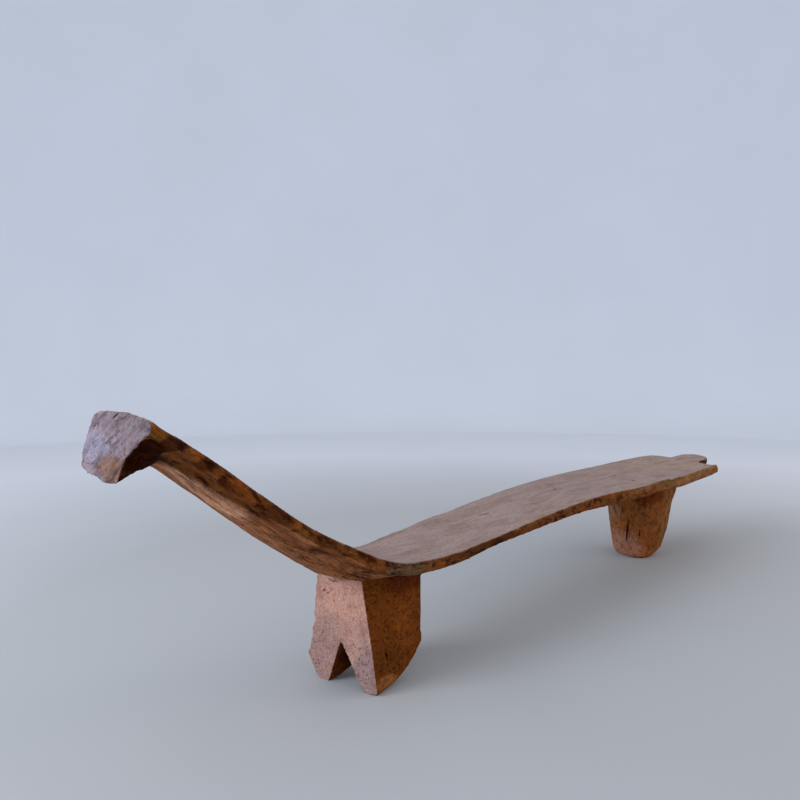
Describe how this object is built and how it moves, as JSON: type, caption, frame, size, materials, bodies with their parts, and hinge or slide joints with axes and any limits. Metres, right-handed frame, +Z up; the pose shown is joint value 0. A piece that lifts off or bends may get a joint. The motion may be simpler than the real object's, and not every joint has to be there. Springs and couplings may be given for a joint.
{
  "type": "carved wooden daybed",
  "caption": "Long low daybed carved from a single log, with a hooked headrest, sloping backrest, thin widening seat, forked front leg and round rear stump.",
  "frame": {"origin": "middle of the footprint, on the floor", "axes": "+X from the headrest to the foot board, +Y across, away from the side that the picture shows, +Z up"},
  "size_m": [2.285, 0.2914, 0.512],
  "materials": {
    "weathered_wood": "dry, worn and adzed, with fine cracks"
  },
  "bodies": {
    "root": {"headrest": "weathered_wood", "backrest": "weathered_wood", "backrest_keel": "weathered_wood", "seat_dip": "weathered_wood", "seat": "weathered_wood", "foot_board": "weathered_wood", "foot_tongue": "weathered_wood", "front_leg": "weathered_wood", "front_foot_near": "weathered_wood", "front_foot_far": "weathered_wood", "rear_leg": "weathered_wood"}
  },
  "joints": []
}
